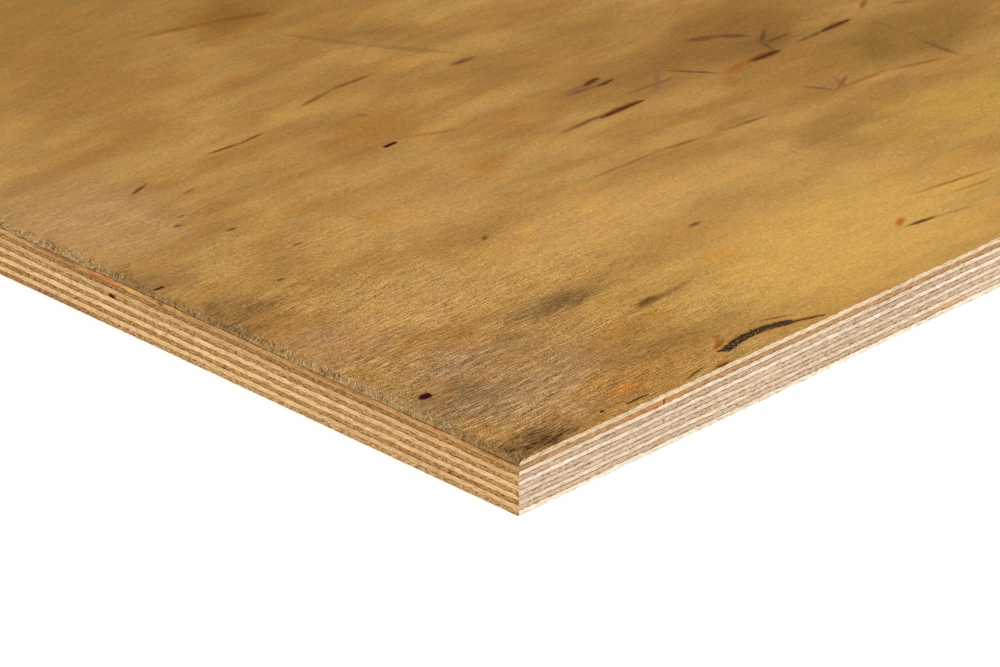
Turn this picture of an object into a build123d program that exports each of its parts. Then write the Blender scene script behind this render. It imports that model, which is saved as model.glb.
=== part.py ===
"""Birch plywood sheet, lying flat with its face side up.

Rotary cut birch veneers are glued face to face, and the grain of each crosses that of the one
below. The sheet is in millimetres. The origin is the middle of its underside, +X runs along the
grain of the face veneer and +Z points up. Plies are numbered from the face, as a mill does.
"""

import os

from build123d import *

# Outline of the sheet, as pressed and trimmed
SHEET_LENGTH = 1525.0  # along the grain of the face veneer
SHEET_WIDTH = 1525.0  # across that grain

# Lay up: cross plies alternate with long plies, between a face veneer and a back veneer
CROSS_PLY_COUNT = 5
FACE_THICKNESS = 1.45  # the face veneer, and the back veneer alike
CROSS_PLY_THICKNESS = 1.40  # grain across the sheet
LONG_PLY_THICKNESS = 1.275  # grain along the sheet

# Crosscut ends of the face veneer, where handling has broken the fibres back
WORN_DEPTH = 0.90  # how far down the end of the veneer the wear reaches
WORN_REACH = 2.60  # how far back over its face

PLY_COUNT = 2 * CROSS_PLY_COUNT + 1
QUARTER_TURN = 90.0  # degrees
MM3_PER_CM3 = 1000.0

os.makedirs("parts", exist_ok=True)


def finish(ply, name):
    """Name one ply and write it to its own file."""
    ply.part.label = name
    export_step(ply.part, f"parts/{name}.step")
    return ply.part


# Back veneer: square ends, flat on the ground
with BuildPart() as back_veneer:
    with BuildSketch(Plane.XY):
        Rectangle(SHEET_LENGTH, SHEET_WIDTH)
    extrude(amount=FACE_THICKNESS)
sheet = [finish(back_veneer, "back_veneer")]
glue_line = FACE_THICKNESS  # height of the joint that the next ply is laid on

# Inner plies, laid from the back towards the face
for number in range(PLY_COUNT - 1, 1, -1):
    is_cross = number % 2 == 0
    thickness = CROSS_PLY_THICKNESS if is_cross else LONG_PLY_THICKNESS
    with BuildPart() as inner_ply:
        with BuildSketch(Plane.XY.offset(glue_line)):
            Rectangle(SHEET_LENGTH, SHEET_WIDTH)
        extrude(amount=thickness)
    kind = "cross_ply" if is_cross else "long_ply"
    sheet.append(finish(inner_ply, f"{kind}_{number:02d}"))
    glue_line += thickness

# Face veneer: its section runs from one crosscut end to the other, each end rounded off by wear
half_length = SHEET_LENGTH / 2
shoulder = FACE_THICKNESS - WORN_DEPTH  # what is left of the square end
with BuildPart() as face_veneer:
    with BuildSketch(Plane.XZ.offset(-SHEET_WIDTH / 2)):
        with BuildLine():
            Line((0, glue_line), (half_length, glue_line))
            Line((half_length, glue_line), (half_length, glue_line + shoulder))
            EllipticalCenterArc(
                (half_length - WORN_REACH, glue_line + shoulder),
                WORN_REACH,
                WORN_DEPTH,
                arc_size=QUARTER_TURN,
            )
            Line((half_length - WORN_REACH, glue_line + FACE_THICKNESS), (0, glue_line + FACE_THICKNESS))
            mirror(about=Plane.YZ)
        make_face()
    extrude(amount=SHEET_WIDTH)
sheet.append(finish(face_veneer, "face_veneer"))
sheet_thickness = glue_line + FACE_THICKNESS

print(f"plywood sheet: {len(sheet)} plies, {sheet_thickness:.3f} mm thick")
for ply in sheet:
    box = ply.bounding_box()
    print(f"{ply.label}: {box.min.Z:.3f} to {box.max.Z:.3f} mm, {ply.volume / MM3_PER_CM3:.1f} cm3")
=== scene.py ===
# %% [markdown]
# # A birch plywood sheet, made to look used
#
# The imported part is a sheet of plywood: eleven thin veneers of birch, glued with the grain of
# each one crossing the next. This lesson keeps that part as a fixed frame and gives every ply
# its sawn edge, its face and its finish. Lengths in the frame are metres, so a named value
# `MM` turns the millimetres that a joiner thinks in into them.

# %% Load the frame
import math
import random

import bmesh
import bpy
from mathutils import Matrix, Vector, kdtree, noise


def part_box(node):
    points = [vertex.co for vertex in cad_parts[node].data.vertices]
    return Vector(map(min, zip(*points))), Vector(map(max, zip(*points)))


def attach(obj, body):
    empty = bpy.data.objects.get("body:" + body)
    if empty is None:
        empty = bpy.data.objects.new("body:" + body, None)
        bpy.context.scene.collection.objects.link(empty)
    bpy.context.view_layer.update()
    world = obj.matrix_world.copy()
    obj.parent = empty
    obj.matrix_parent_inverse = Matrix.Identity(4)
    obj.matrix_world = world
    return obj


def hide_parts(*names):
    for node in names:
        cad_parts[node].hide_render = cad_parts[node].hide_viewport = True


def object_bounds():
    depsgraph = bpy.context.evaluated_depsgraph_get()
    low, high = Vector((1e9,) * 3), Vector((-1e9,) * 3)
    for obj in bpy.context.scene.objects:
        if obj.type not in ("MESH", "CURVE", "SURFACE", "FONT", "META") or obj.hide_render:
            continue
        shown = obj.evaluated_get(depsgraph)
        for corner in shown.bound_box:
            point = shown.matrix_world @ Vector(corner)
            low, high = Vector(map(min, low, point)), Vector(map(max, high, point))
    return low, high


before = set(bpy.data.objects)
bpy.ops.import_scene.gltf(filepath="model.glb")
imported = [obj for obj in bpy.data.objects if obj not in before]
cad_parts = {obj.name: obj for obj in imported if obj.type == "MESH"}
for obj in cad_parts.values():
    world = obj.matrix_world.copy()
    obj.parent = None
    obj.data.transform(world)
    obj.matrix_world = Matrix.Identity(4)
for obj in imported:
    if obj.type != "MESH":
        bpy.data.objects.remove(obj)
cad_low, cad_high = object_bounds()
bpy.ops.object.select_all(action="DESELECT")

MM = 0.001
HALF_X = cad_high.x
HALF_Y = cad_high.y
TOP = cad_high.z
NEAR_CORNER = Vector((-HALF_X, -HALF_Y, TOP))
print("sheet", [round((cad_high[i] - cad_low[i]) / MM, 3) for i in range(3)], "mm")

# %% [markdown]
# ## The camera
#
# The photograph looks down over one corner of the sheet with a long lens. Its place was worked
# out from the corner and the two sawn edges. A camera could be moved about until the view fits.
# Here it is turned down by a pitch and round to a heading, and it stands at a measured distance
# from the corner, so nothing has to be tuned by eye.

# %% Camera
LENS = 200.0
PITCH = math.radians(26.2511)
HEADING = math.radians(44.8324)  # from the rip edge, towards the middle of the sheet
CAMERA_FROM_CORNER = Vector((-837.87, -826.58, 614.53)) * MM

bpy.ops.object.camera_add(
    location=NEAR_CORNER + CAMERA_FROM_CORNER,
    rotation=(math.pi / 2 - PITCH, 0, HEADING - math.pi / 2),
)
camera = bpy.context.object
camera.data.lens = LENS
bpy.context.scene.camera = camera
print("camera", [round(v, 3) for v in camera.location])

# %% [markdown]
# ## Floor and light
#
# A studio sweep of white paper is a large plane. One broad lamp stands on the side of the rip
# edge, because that edge is the brightest in the photograph. A weaker one stands on the side of
# the crosscut end, and a white surround fills the shadows. Soft light comes from the size of a
# lamp, not from its strength. The paper glows a little, as on a light table, which is how such a
# photograph loses its shadow.

# %% Floor and light
FLOOR_SIZE = 60.0
PAPER_WHITE = 0.95
PAPER_GLOW = 0.3
SOFTBOX_SIZE = 2.4
SURROUND_LIGHT = 0.9

bpy.ops.mesh.primitive_plane_add(size=FLOOR_SIZE, location=(0, 0, cad_low.z))
floor = bpy.context.object
floor.name = "paper_floor"
paper = bpy.data.materials.new("white_paper")
paper.use_nodes = True
for name, value in {
    "Base Color": (PAPER_WHITE, PAPER_WHITE, PAPER_WHITE, 1),
    "Roughness": 1.0,
    "Emission Color": (1, 1, 1, 1),
    "Emission Strength": PAPER_GLOW,
}.items():
    paper.node_tree.nodes["Principled BSDF"].inputs[name].default_value = value
floor.data.materials.append(paper)


def softbox(name, place, power):
    """A square lamp at a place, turned to face the near corner."""
    bpy.ops.object.light_add(type="AREA", location=place)
    made = bpy.context.object
    made.name = name
    made.data.size = SOFTBOX_SIZE
    made.data.energy = power
    made.rotation_euler = (NEAR_CORNER - Vector(place)).to_track_quat("-Z", "Y").to_euler()
    print(name, power, "W")


softbox("key_softbox", (2.4, -4.2, 2.6), power=260)
softbox("fill_softbox", (-4.6, -1.2, 2.4), power=60)

world = bpy.data.worlds.new("white_surround")
bpy.context.scene.world = world
world.use_nodes = True
world.node_tree.nodes["Background"].inputs["Color"].default_value = (1, 1, 1, 1)
world.node_tree.nodes["Background"].inputs["Strength"].default_value = SURROUND_LIGHT
bpy.context.scene.view_settings.view_transform = "Standard"

# %% [markdown]
# ## Hand tools for the modelling
#
# Two small helpers stand in for the mouse. One picks edges or faces in edit mode by the places
# of their corners, as a box selection would. The other wobbles a group of vertices along one
# axis with a cloud texture and applies the modifier, as a saw and the weather leave an edge.

# %% Selecting and wobbling
NUDGE = 0.01 * MM  # smaller than any real size here, for comparing places


def pick(piece, kind, wanted):
    """In edit mode, select the edges or the faces whose corners pass the test."""
    bpy.ops.mesh.select_mode(type=kind)
    bpy.ops.mesh.select_all(action="DESELECT")
    mesh = bmesh.from_edit_mesh(piece.data)
    for part in mesh.edges if kind == "EDGE" else mesh.faces:
        part.select_set(wanted([vertex.co for vertex in part.verts]))
    bmesh.update_edit_mesh(piece.data)


def wobble(piece, wanted, axis, strength, size):
    """Push the wanted vertices to and fro along an axis, by a cloud of blobs of this size."""
    group = piece.vertex_groups.new(name="wobble")
    group.add([v.index for v in piece.data.vertices if wanted(v.co)], 1.0, "REPLACE")
    cloud = bpy.data.textures.new("cloud", "CLOUDS")
    cloud.noise_scale = size
    push = piece.modifiers.new("wobble", "DISPLACE")
    push.texture = cloud
    push.texture_coords = "LOCAL"
    push.direction = axis
    push.strength = strength
    push.vertex_group = group.name
    bpy.context.view_layer.objects.active = piece
    bpy.ops.object.modifier_apply(modifier=push.name)
    piece.vertex_groups.clear()


# %% [markdown]
# ## The inner plies and the back veneer
#
# Each ply is a wide thin board, and only its four sawn edges show. A cube would give four dead
# flat faces. Here a square of edges is cut into short lengths and pulled up in rows, so the saw
# cut can waver. Where a ply shows its end grain the saw leaves it a hair lower than the long
# grain beside it, so its outline starts smaller on those two sides. The joint between two plies
# wavers too, and both plies read the same cloud texture, so they still meet.

# %% Inner plies and back veneer
EDGE_STEPS = (25, 31)  # two rounds of cuts: 775 lengths of about 2 mm a side
EDGE_ROWS = 3
END_GRAIN_SET_BACK = 0.10 * MM
JOINT_WAVE = 0.42 * MM
JOINT_WAVE_SIZE = 11 * MM
SAW_WAVE = 0.22 * MM
SAW_WAVE_SIZE = 5 * MM
PLIES_TO_DOUBLE = 20  # the saw wavers more slowly from ply to ply, and after this many half as fast


def sawn_ring(name, low, high, half_x, half_y):
    """A closed board whose edges are cut into short lengths and rows."""
    bpy.ops.mesh.primitive_circle_add(
        vertices=4, radius=math.sqrt(2), location=(0, 0, low), rotation=(0, 0, math.pi / 4)
    )
    piece = bpy.context.object
    piece.name = name
    piece.scale = (half_x, half_y, 1)
    bpy.ops.object.transform_apply()
    bpy.ops.object.mode_set(mode="EDIT")
    bpy.ops.mesh.select_all(action="SELECT")
    for steps in EDGE_STEPS:
        bpy.ops.mesh.subdivide(number_cuts=steps - 1)
    bpy.ops.mesh.edge_face_add()
    for _ in range(EDGE_ROWS):
        bpy.ops.mesh.extrude_region_move(
            TRANSFORM_OT_translate={"value": (0, 0, (high - low) / EDGE_ROWS)}
        )
    bpy.ops.mesh.select_all(action="SELECT")
    bpy.ops.mesh.normals_make_consistent(inside=False)
    bpy.ops.object.mode_set(mode="OBJECT")
    return piece


def mark_height(piece, low, high):
    """Keep each vertex's height in its ply, from 0 to 1, for the glue lines of the finish."""
    height = piece.data.attributes.new("ply_height", "FLOAT", "POINT")
    for vertex in piece.data.vertices:
        height.data[vertex.index].value = (vertex.co.z - low) / (high - low)


def sawn_ply(node, number):
    """One ply with wavering joints and sawn edges."""
    low, high = (corner.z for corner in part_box(node))
    is_cross = number % 2 == 0
    half_x = HALF_X - (0 if is_cross else END_GRAIN_SET_BACK)
    half_y = HALF_Y - (END_GRAIN_SET_BACK if is_cross else 0)
    piece = sawn_ring("sawn_" + node, low, high, half_x, half_y)
    mark_height(piece, low, high)
    wobble(piece, lambda p: p.z > cad_low.z + NUDGE, "Z", JOINT_WAVE, JOINT_WAVE_SIZE)
    wave_size = SAW_WAVE_SIZE * (1 + number / PLIES_TO_DOUBLE)
    wobble(piece, lambda p: abs(p.x) > half_x - NUDGE, "X", SAW_WAVE, wave_size)
    wobble(piece, lambda p: abs(p.y) > half_y - NUDGE, "Y", SAW_WAVE, wave_size)
    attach(piece, "root")
    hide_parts(node)
    return piece


ply_nodes = sorted(
    (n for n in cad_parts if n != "face_veneer"), key=lambda n: -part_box(n)[0].z
)
plies = {node: sawn_ply(node, number) for number, node in enumerate(ply_nodes, start=2)}
print("plies", {n: len(p.data.polygons) for n, p in plies.items()})

# %% [markdown]
# ## Marks in the face
#
# A crack, a bark pocket or a knot is a place, a course and a width. Each is listed once, in
# millimetres from the near corner, along the rip edge and then across the sheet. The list
# serves three times: to cut the plane finer there, to sink the mark, and to keep how far each
# point lies inside it in an attribute that the finish reads.

# %% Marks near the corner, as the photograph shows them
# name: kind, half width, depth, and the points that it passes through, all in mm
MARKS = {
    "bark_pocket": ("bark", 1.40, 0.70, [
        (78.9, 5.8), (80.5, 6.1), (83, 6.8), (87, 7.5), (91, 7.6), (95, 7.1), (98.5, 6.2), (102.3, 5.0),
    ]),
    "bark_tail": ("crack", 0.55, 0.25, [(99.5, 5.7), (104, 4.3), (111.5, 1.4)]),
    "bark_crumb": ("bark", 0.50, 0.40, [(76.9, 6.5), (78.3, 6.1)]),
    "black_sliver": ("bark", 0.36, 0.35, [(40.2, 2.7), (44, 2.8), (47.4, 2.6)]),
    "edge_chip": ("crack", 0.55, 0.30, [(70.0, 0.6), (72.0, 0.8), (74.4, 0.5)]),
    "near_knot": ("knot", 1.40, 0.40, [(7.6, 40.5), (8.9, 40.4)]),
    "pin_knot": ("knot", 0.48, 0.30, [(32.8, 4.2), (33.4, 4.3)]),
    "far_knot": ("knot", 0.62, 0.35, [(104.6, 153.7), (108.2, 153.9)]),
    "end_knot": ("knot", 0.45, 0.30, [(1.8, 131.9), (4.2, 131.8)]),
    "long_crack": ("crack", 1.0, 0.35, [(159, 125.9), (166, 126.5), (171.5, 126.4), (175.6, 125.8)]),
    "paired_crack_a": ("crack", 0.75, 0.20, [(171.4, 144.0), (174.8, 145.1), (178.2, 145.1)]),
    "paired_crack_b": ("crack", 0.62, 0.18, [(173.8, 141.3), (177, 141.4), (180.2, 141.8)]),
    "deep_crack_a": ("crack", 1.15, 0.35, [(216.6, 123.2), (222, 123.2), (227.6, 122.8)]),
    "deep_crack_b": ("crack", 0.80, 0.25, [(245.5, 123.2), (251.8, 123.7), (257.8, 123.4)]),
}
HAND_MARKS = len(MARKS)
print(HAND_MARKS, "marks made by hand")

# %% [markdown]
# ## Marks over the rest of the sheet
#
# The photograph ends after a hand's length or two, and a sheet that is perfect beyond it would
# look false. So a few more cracks, knots and bark pockets are drawn by dice, from a fixed seed,
# so that every run draws the same ones. They run with the grain and stay off the corner whose
# marks are listed one by one.

# %% Marks drawn by dice
PHOTOGRAPHED = 330  # mm along each edge that the photograph shows, at the most
SHEET_MM = (2 * HALF_X / MM, 2 * HALF_Y / MM)
FROM_THE_RIM = 40  # mm
DICE_MARKS = 30
DICE_KINDS = (  # kind, half width, depth, shortest, longest
    ("crack", 0.40, 0.20, 8, 34),
    ("crack", 0.55, 0.30, 6, 22),
    ("knot", 0.80, 0.35, 1, 4),
    ("bark", 0.70, 0.55, 9, 26),
)
LEAN = 0.12  # shares of the length
BOW = 0.05
WIDTH_SPREAD = (0.6, 1.2)

dice = random.Random(15)
while len(MARKS) < HAND_MARKS + DICE_MARKS:
    x, y = (dice.uniform(FROM_THE_RIM, size - FROM_THE_RIM) for size in SHEET_MM)
    kind, half_width, depth, shortest, longest = dice.choice(DICE_KINDS)
    length = dice.uniform(shortest, longest)
    lean = dice.uniform(-LEAN, LEAN)
    bow = dice.uniform(-BOW, BOW) * length
    if x > PHOTOGRAPHED or y > PHOTOGRAPHED:
        half_width *= dice.uniform(*WIDTH_SPREAD)
        course = [
            (x + length * t, y + length * lean * t + bow * math.sin(math.pi * t)) for t in (0, 0.35, 0.7, 1)
        ]
        MARKS[f"dice_{kind}_{len(MARKS)}"] = (kind, half_width, depth, course)
print(len(MARKS), "marks")

# %% [markdown]
# ## Beads along each mark
#
# To ask how near a point is to a mark, the mark is first strung with small beads. Cracks taper
# to both ends, so the beads at the ends are smaller; a knot keeps its width. A search tree then
# answers in no time which beads lie near a vertex.

# %% Beads and their search tree
BEAD_STEP = 0.25  # mm
# kind: share of the width left at the tips, roundness
TAPERS = {"crack": (0.25, 0.5), "bark": (0.66, 0.22), "knot": (1.0, 1.0)}
WIDEST = 1.5 * MM

beads = []  # place, half width, kind, depth
for kind, half_width, depth, points in MARKS.values():
    for (x0, y0), (x1, y1) in zip(points, points[1:]):
        steps = max(1, round(math.hypot(x1 - x0, y1 - y0) / BEAD_STEP))
        for i in range(steps + 1):
            x, y = x0 + (x1 - x0) * i / steps, y0 + (y1 - y0) * i / steps
            share = (x - points[0][0]) / (points[-1][0] - points[0][0])
            tip, roundness = TAPERS[kind]
            taper = tip + (1 - tip) * max(0, math.sin(math.pi * share)) ** roundness
            place = Vector((NEAR_CORNER.x + x * MM, NEAR_CORNER.y + y * MM, 0))
            beads.append((place, half_width * taper * MM, kind, depth * taper * MM))

bead_tree = kdtree.KDTree(len(beads))
for i, (place, *_) in enumerate(beads):
    bead_tree.insert(place, i)
bead_tree.balance()
print(len(beads), "beads")

# %% [markdown]
# ## The face veneer
#
# The face is what the photograph shows most. It is a single wide veneer, but it isn't flat: its
# crosscut ends are broken back and rounded by handling, and knots, bark and cracks sink into
# it. A dense grid over the whole sheet would waste faces, so the plane is cut the way a joiner
# marks out: narrow columns near the two crosscut ends, wide ones between them, and rows that
# run with the grain. Only the faces that a mark crosses are then halved again and again.

# %% Face veneer: the marked out plane
FACE_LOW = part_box("face_veneer")[0].z
COLUMN_FROM_END = [0.22, 0.5, 0.85, 1.3, 1.85, 2.5, 3.3, 5.0, 8.5, 13, 18]  # mm
WIDE_COLUMNS = 60
ROW_CUTS = (19, 20)  # 380 rows of 4 mm
END_ROW_CUTS = 4  # rows near the crosscut ends, per wide row
FINE_ROW = 0.15 * MM  # narrower rows aren't halved again
MARK_MARGIN = 0.5 * MM  # how far the fine faces reach beyond a mark
HALVINGS = 5

bpy.ops.mesh.primitive_plane_add(size=2, location=(0, 0, TOP))
face = bpy.context.object
face.name = "worn_face_veneer"
face.scale = (HALF_X, HALF_Y, 1)
bpy.ops.object.transform_apply()
bpy.ops.object.mode_set(mode="EDIT")

inner_half = HALF_X - COLUMN_FROM_END[-1] * MM
columns = [side * (HALF_X - gap * MM) for gap in COLUMN_FROM_END for side in (-1, 1)]
columns += [inner_half * (2 * i / WIDE_COLUMNS - 1) for i in range(1, WIDE_COLUMNS)]
for x in columns:
    bpy.ops.mesh.select_all(action="SELECT")
    bpy.ops.mesh.bisect(plane_co=(x, 0, TOP), plane_no=(1, 0, 0))


def runs_across(ends):
    """Whether an edge runs across the grain."""
    return abs(ends[0].x - ends[1].x) < NUDGE


for rows in ROW_CUTS:
    pick(face, "EDGE", runs_across)
    bpy.ops.mesh.subdivide(number_cuts=rows - 1)
pick(face, "EDGE", lambda ends: runs_across(ends) and abs(ends[0].x) > inner_half + NUDGE)
bpy.ops.mesh.subdivide(number_cuts=END_ROW_CUTS - 1)


def crosses_a_mark(corners):
    """Whether a bead, grown by its own width and a margin, reaches into this face."""
    low = [min(c[i] for c in corners) for i in (0, 1)]
    high = [max(c[i] for c in corners) for i in (0, 1)]
    if high[1] - low[1] < FINE_ROW:
        return False
    middle = Vector(((low[0] + high[0]) / 2, (low[1] + high[1]) / 2, 0))
    reach = math.hypot(high[0] - low[0], high[1] - low[1]) / 2 + WIDEST + MARK_MARGIN
    for place, i, _ in bead_tree.find_range(middle, reach):
        grown = beads[i][1] + MARK_MARGIN
        if low[0] - grown < place.x < high[0] + grown and low[1] - grown < place.y < high[1] + grown:
            return True
    return False


for _ in range(HALVINGS):
    pick(face, "FACE", crosses_a_mark)
    bpy.ops.mesh.subdivide(number_cuts=1)
bpy.ops.object.mode_set(mode="OBJECT")
print("face plane", len(face.data.polygons), "faces")

# %% [markdown]
# ## From a plane to a veneer
#
# The plane becomes a thin board when its outline is pulled down in rows and closed below. The
# rip edges are cut into shorter lengths first, so that they can waver with the ply beneath.

# %% Face veneer: sides and back
LONGEST_EDGE = 6 * MM
RIP_CUTS = 8


def is_long_and_on_the_rim(ends):
    """Whether a long edge lies on one of the rip edges."""
    return min(abs(end.y) for end in ends) > HALF_Y - NUDGE and abs(ends[0].x - ends[1].x) > LONGEST_EDGE


bpy.ops.object.mode_set(mode="EDIT")
pick(face, "EDGE", is_long_and_on_the_rim)
bpy.ops.mesh.subdivide(number_cuts=RIP_CUTS - 1)
bpy.ops.mesh.select_mode(type="EDGE")
bpy.ops.mesh.select_all(action="DESELECT")
bpy.ops.mesh.select_non_manifold()
for _ in range(EDGE_ROWS):
    bpy.ops.mesh.extrude_region_move(
        TRANSFORM_OT_translate={"value": (0, 0, (FACE_LOW - TOP) / EDGE_ROWS)}
    )
bpy.ops.mesh.edge_face_add()
bpy.ops.mesh.select_all(action="SELECT")
bpy.ops.mesh.normals_make_consistent(inside=False)
bpy.ops.object.mode_set(mode="OBJECT")
wobble(face, lambda p: p.z < FACE_LOW + NUDGE, "Z", JOINT_WAVE, JOINT_WAVE_SIZE)
wobble(face, lambda p: abs(p.y) > HALF_Y - NUDGE, "Y", SAW_WAVE, SAW_WAVE_SIZE)
print("face veneer", len(face.data.polygons), "faces")

# %% [markdown]
# ## Sinking the marks and breaking the ends
#
# Every vertex is now moved as a carver would: down into the marks, and down and back where the
# crosscut ends are worn. A vertex on the side moves by its share of the height, so the sides
# stay whole. Wear isn't even, so slow noise changes its reach and depth, and a fast noise that
# only changes across the grain leaves the broken fibres standing as ridges.

# %% Face veneer: marks and wear
WORN_DEPTH = 0.90 * MM
WORN_REACH = 2.60 * MM
BROKEN_BACK = 0.35 * MM
SLOW_WEAR = 9 * MM
FAST_WEAR = 1.1 * MM
STANDING_FIBRE = 0.16 * MM
RAGGED_RIM = ((0.45, 0.9 * MM), (0.25, 0.35 * MM))  # strength and size of the noises in it
STEEPNESS = 2.2  # how soon a mark reaches its full depth
FLOOR_LUMP = 0.8 * MM
DEEPEST = 0.9  # share of the veneer
ON_TOP = 0.99
OUTSIDE = -1.0


def inside_marks(place):
    """How far a place lies inside each kind of mark, from 1 in its middle to 0 at its rim."""
    found = dict.fromkeys(TAPERS, OUTSIDE)
    sunk = 0.0
    flat = Vector((place.x, place.y, 0))
    ragged = sum(strength * noise.noise(flat / size) for strength, size in RAGGED_RIM)
    for _, i, gap in bead_tree.find_range(flat, 2 * WIDEST):
        _, half_width, kind, depth = beads[i]
        inside = 1 - gap / half_width + (ragged if gap < 2 * half_width else 0)
        found[kind] = max(found[kind], inside)
        sunk = max(sunk, depth * min(1, max(0, inside * STEEPNESS)))
    rough_floor = 0.75 + 0.5 * noise.noise(flat / FLOOR_LUMP)
    return found, sunk * rough_floor


def wear(place):
    """How deep the end is worn at a place, and how far it is broken back."""
    gap = HALF_X - abs(place.x)
    slow = noise.noise(Vector((place.x, place.y, 0)) / SLOW_WEAR)
    reach = WORN_REACH * (1 + 0.55 * slow)
    if gap >= reach:
        return 0.0, 0.0
    fast = noise.noise(Vector((place.x * 0.25, place.y, 7 * MM)) / FAST_WEAR)
    share = 1 - gap / reach
    depth = WORN_DEPTH * (1 + 0.25 * slow) * (1 - math.sqrt(1 - share * share))
    return depth + STANDING_FIBRE * fast * share, BROKEN_BACK * share * (0.6 + 0.8 * fast)


marks_inside = {kind: [OUTSIDE] * len(face.data.vertices) for kind in TAPERS}
for vertex in face.data.vertices:
    place = vertex.co.copy()
    height = min(1, max(0, (place.z - FACE_LOW) / (TOP - FACE_LOW)))
    found, sunk = inside_marks(place)
    depth, back = wear(place)
    if height > ON_TOP:
        for kind, value in found.items():
            marks_inside[kind][vertex.index] = value
    vertex.co.z -= height * min(sunk + depth, DEEPEST * (TOP - FACE_LOW))
    if abs(place.x) > inner_half:
        vertex.co.x -= math.copysign(back + END_GRAIN_SET_BACK / 2, place.x)
for kind, values in marks_inside.items():
    held = face.data.attributes.new("inside_" + kind, "FLOAT", "POINT")
    held.data.foreach_set("value", values)
mark_height(face, FACE_LOW, TOP)
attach(face, "root")
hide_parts("face_veneer")
print("lowest face vertex", round(min(v.co.z for v in face.data.vertices) / MM, 2), "mm")

# %% [markdown]
# ## Tools for the finishes
#
# Every finish is built from nodes. These helpers keep the wiring short enough to read: `add_node`
# adds one node and feeds it, `wire` does so for the shader nodes, and the others are the few sums
# that every pattern needs. A material's own shader stays outside the groups, because only then
# can it be exported.

# %% Wiring helpers
def add_node(tree, kind, feeds, **settings):
    """Add a node, set it up, and feed its inputs with values or with other sockets."""
    made = tree.nodes.new(kind)
    for name, value in settings.items():
        setattr(made, name, value)
    for name, value in feeds.items():
        if isinstance(value, bpy.types.NodeSocket):
            tree.links.new(value, made.inputs[name])
        else:
            made.inputs[name].default_value = value
    return made


def wire(tree, kind, feeds, **settings):
    return add_node(tree, "ShaderNode" + kind, feeds, **settings)


def maths(tree, operation, *terms):
    return wire(tree, "Math", dict(enumerate(terms)), operation=operation).outputs[0]


def vector_maths(tree, operation, *terms):
    return wire(tree, "VectorMath", dict(enumerate(terms)), operation=operation).outputs[0]


def ramp(tree, value, start, end, low=0.0, high=1.0, curve="SMOOTHSTEP"):
    """A step of a value: low up to the start, high from the end."""
    feeds = {"Value": value, "From Min": start, "From Max": end, "To Min": low, "To Max": high}
    return wire(tree, "MapRange", feeds, interpolation_type=curve).outputs[0]


def centred(tree, value, swing):
    """A noise of about 0.5 turned into one about 0."""
    return maths(tree, "MULTIPLY_ADD", value, swing, -0.5 * swing)


def blend(tree, share, below, above):
    """Lay one colour over another."""
    return wire(tree, "Mix", {0: share, 6: below, 7: above}, data_type="RGBA").outputs[2]


def cloud(tree, place, detail=2.0, roughness=0.5):
    """Noise of about 0.2 to 0.8; its grain size is set by scaling the place first."""
    feeds = {"Vector": place, "Scale": 1.0, "Detail": detail, "Roughness": roughness}
    return wire(tree, "TexNoise", feeds).outputs["Fac"]


def stretch(tree, place, x, y, z, shift=0.0):
    """Scale a place axis by axis, and shift it to another part of the noise."""
    return vector_maths(tree, "MULTIPLY_ADD", place, (x, y, z), (shift, shift, shift))


def new_group(name, takes, gives):
    """An empty node group with named sockets: its tree, its inputs and its outputs."""
    tree = bpy.data.node_groups.new(name, "ShaderNodeTree")
    for in_out, sockets in (("INPUT", takes), ("OUTPUT", gives)):
        for label, kind in sockets.items():
            tree.interface.new_socket(label, in_out=in_out, socket_type="NodeSocket" + kind)
    return tree, tree.nodes.new("NodeGroupInput").outputs, tree.nodes.new("NodeGroupOutput").inputs


def use(tree, group, feeds):
    """Place a group in a tree and feed it; gives back its outputs."""
    return wire(tree, "Group", feeds, node_tree=group).outputs


# %% [markdown]
# ## Colours as the light shows them
#
# A colour as seen is the colour of the wood times the light on it. The light was measured
# with a grey sheet: it falls most on the rip edge, less on the face and least on the crosscut
# end. Dividing by it gives the colour of the wood itself, once the white sheen that lies over
# every surface at this low angle is taken off.

# %% Colours
LIGHT_ON_FACE = 1.455
LIGHT_ON_RIP_EDGE = 1.91
LIGHT_ON_CROSSCUT = 1.385
SHEEN = 0.004
DARKEST = 0.002


def tone(red, green, blue, light=LIGHT_ON_FACE):
    """A colour as seen, from 0 to 255, turned into the colour of the surface under that light."""
    seen = [value / 255 for value in (red, green, blue)]
    plain = [v / 12.92 if v <= 0.04045 else ((v + 0.055) / 1.055) ** 2.4 for v in seen]  # sRGB
    return (*[min(1, max(DARKEST, v - SHEEN) / light) for v in plain], 1)


# %% [markdown]
# ## A place on the sheet, and how stains fray
#
# All patterns read one place, in millimetres from the near corner. A stain in wood has no clean
# rim: it wicks along the fibres. So the same place is also given frayed, pushed to and fro by a
# slow noise for its outline and, along the grain only, by a fast noise that changes from fibre
# to fibre. A third place bends a little across the sheet, because no grain runs dead straight.

# %% Group: sheet place
MM_PER_M = 1 / MM
SLOW_PUSH = (16, 9, 0)  # mm in all, along the grain and across it
FAST_PUSH = 11.0  # mm in all, along the grain
FEATHERED = (1.9, 1.2, 0)  # a feathered place is pushed this much further than a frayed one
GRAIN_BEND = (0, 0.4, 0)

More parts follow.
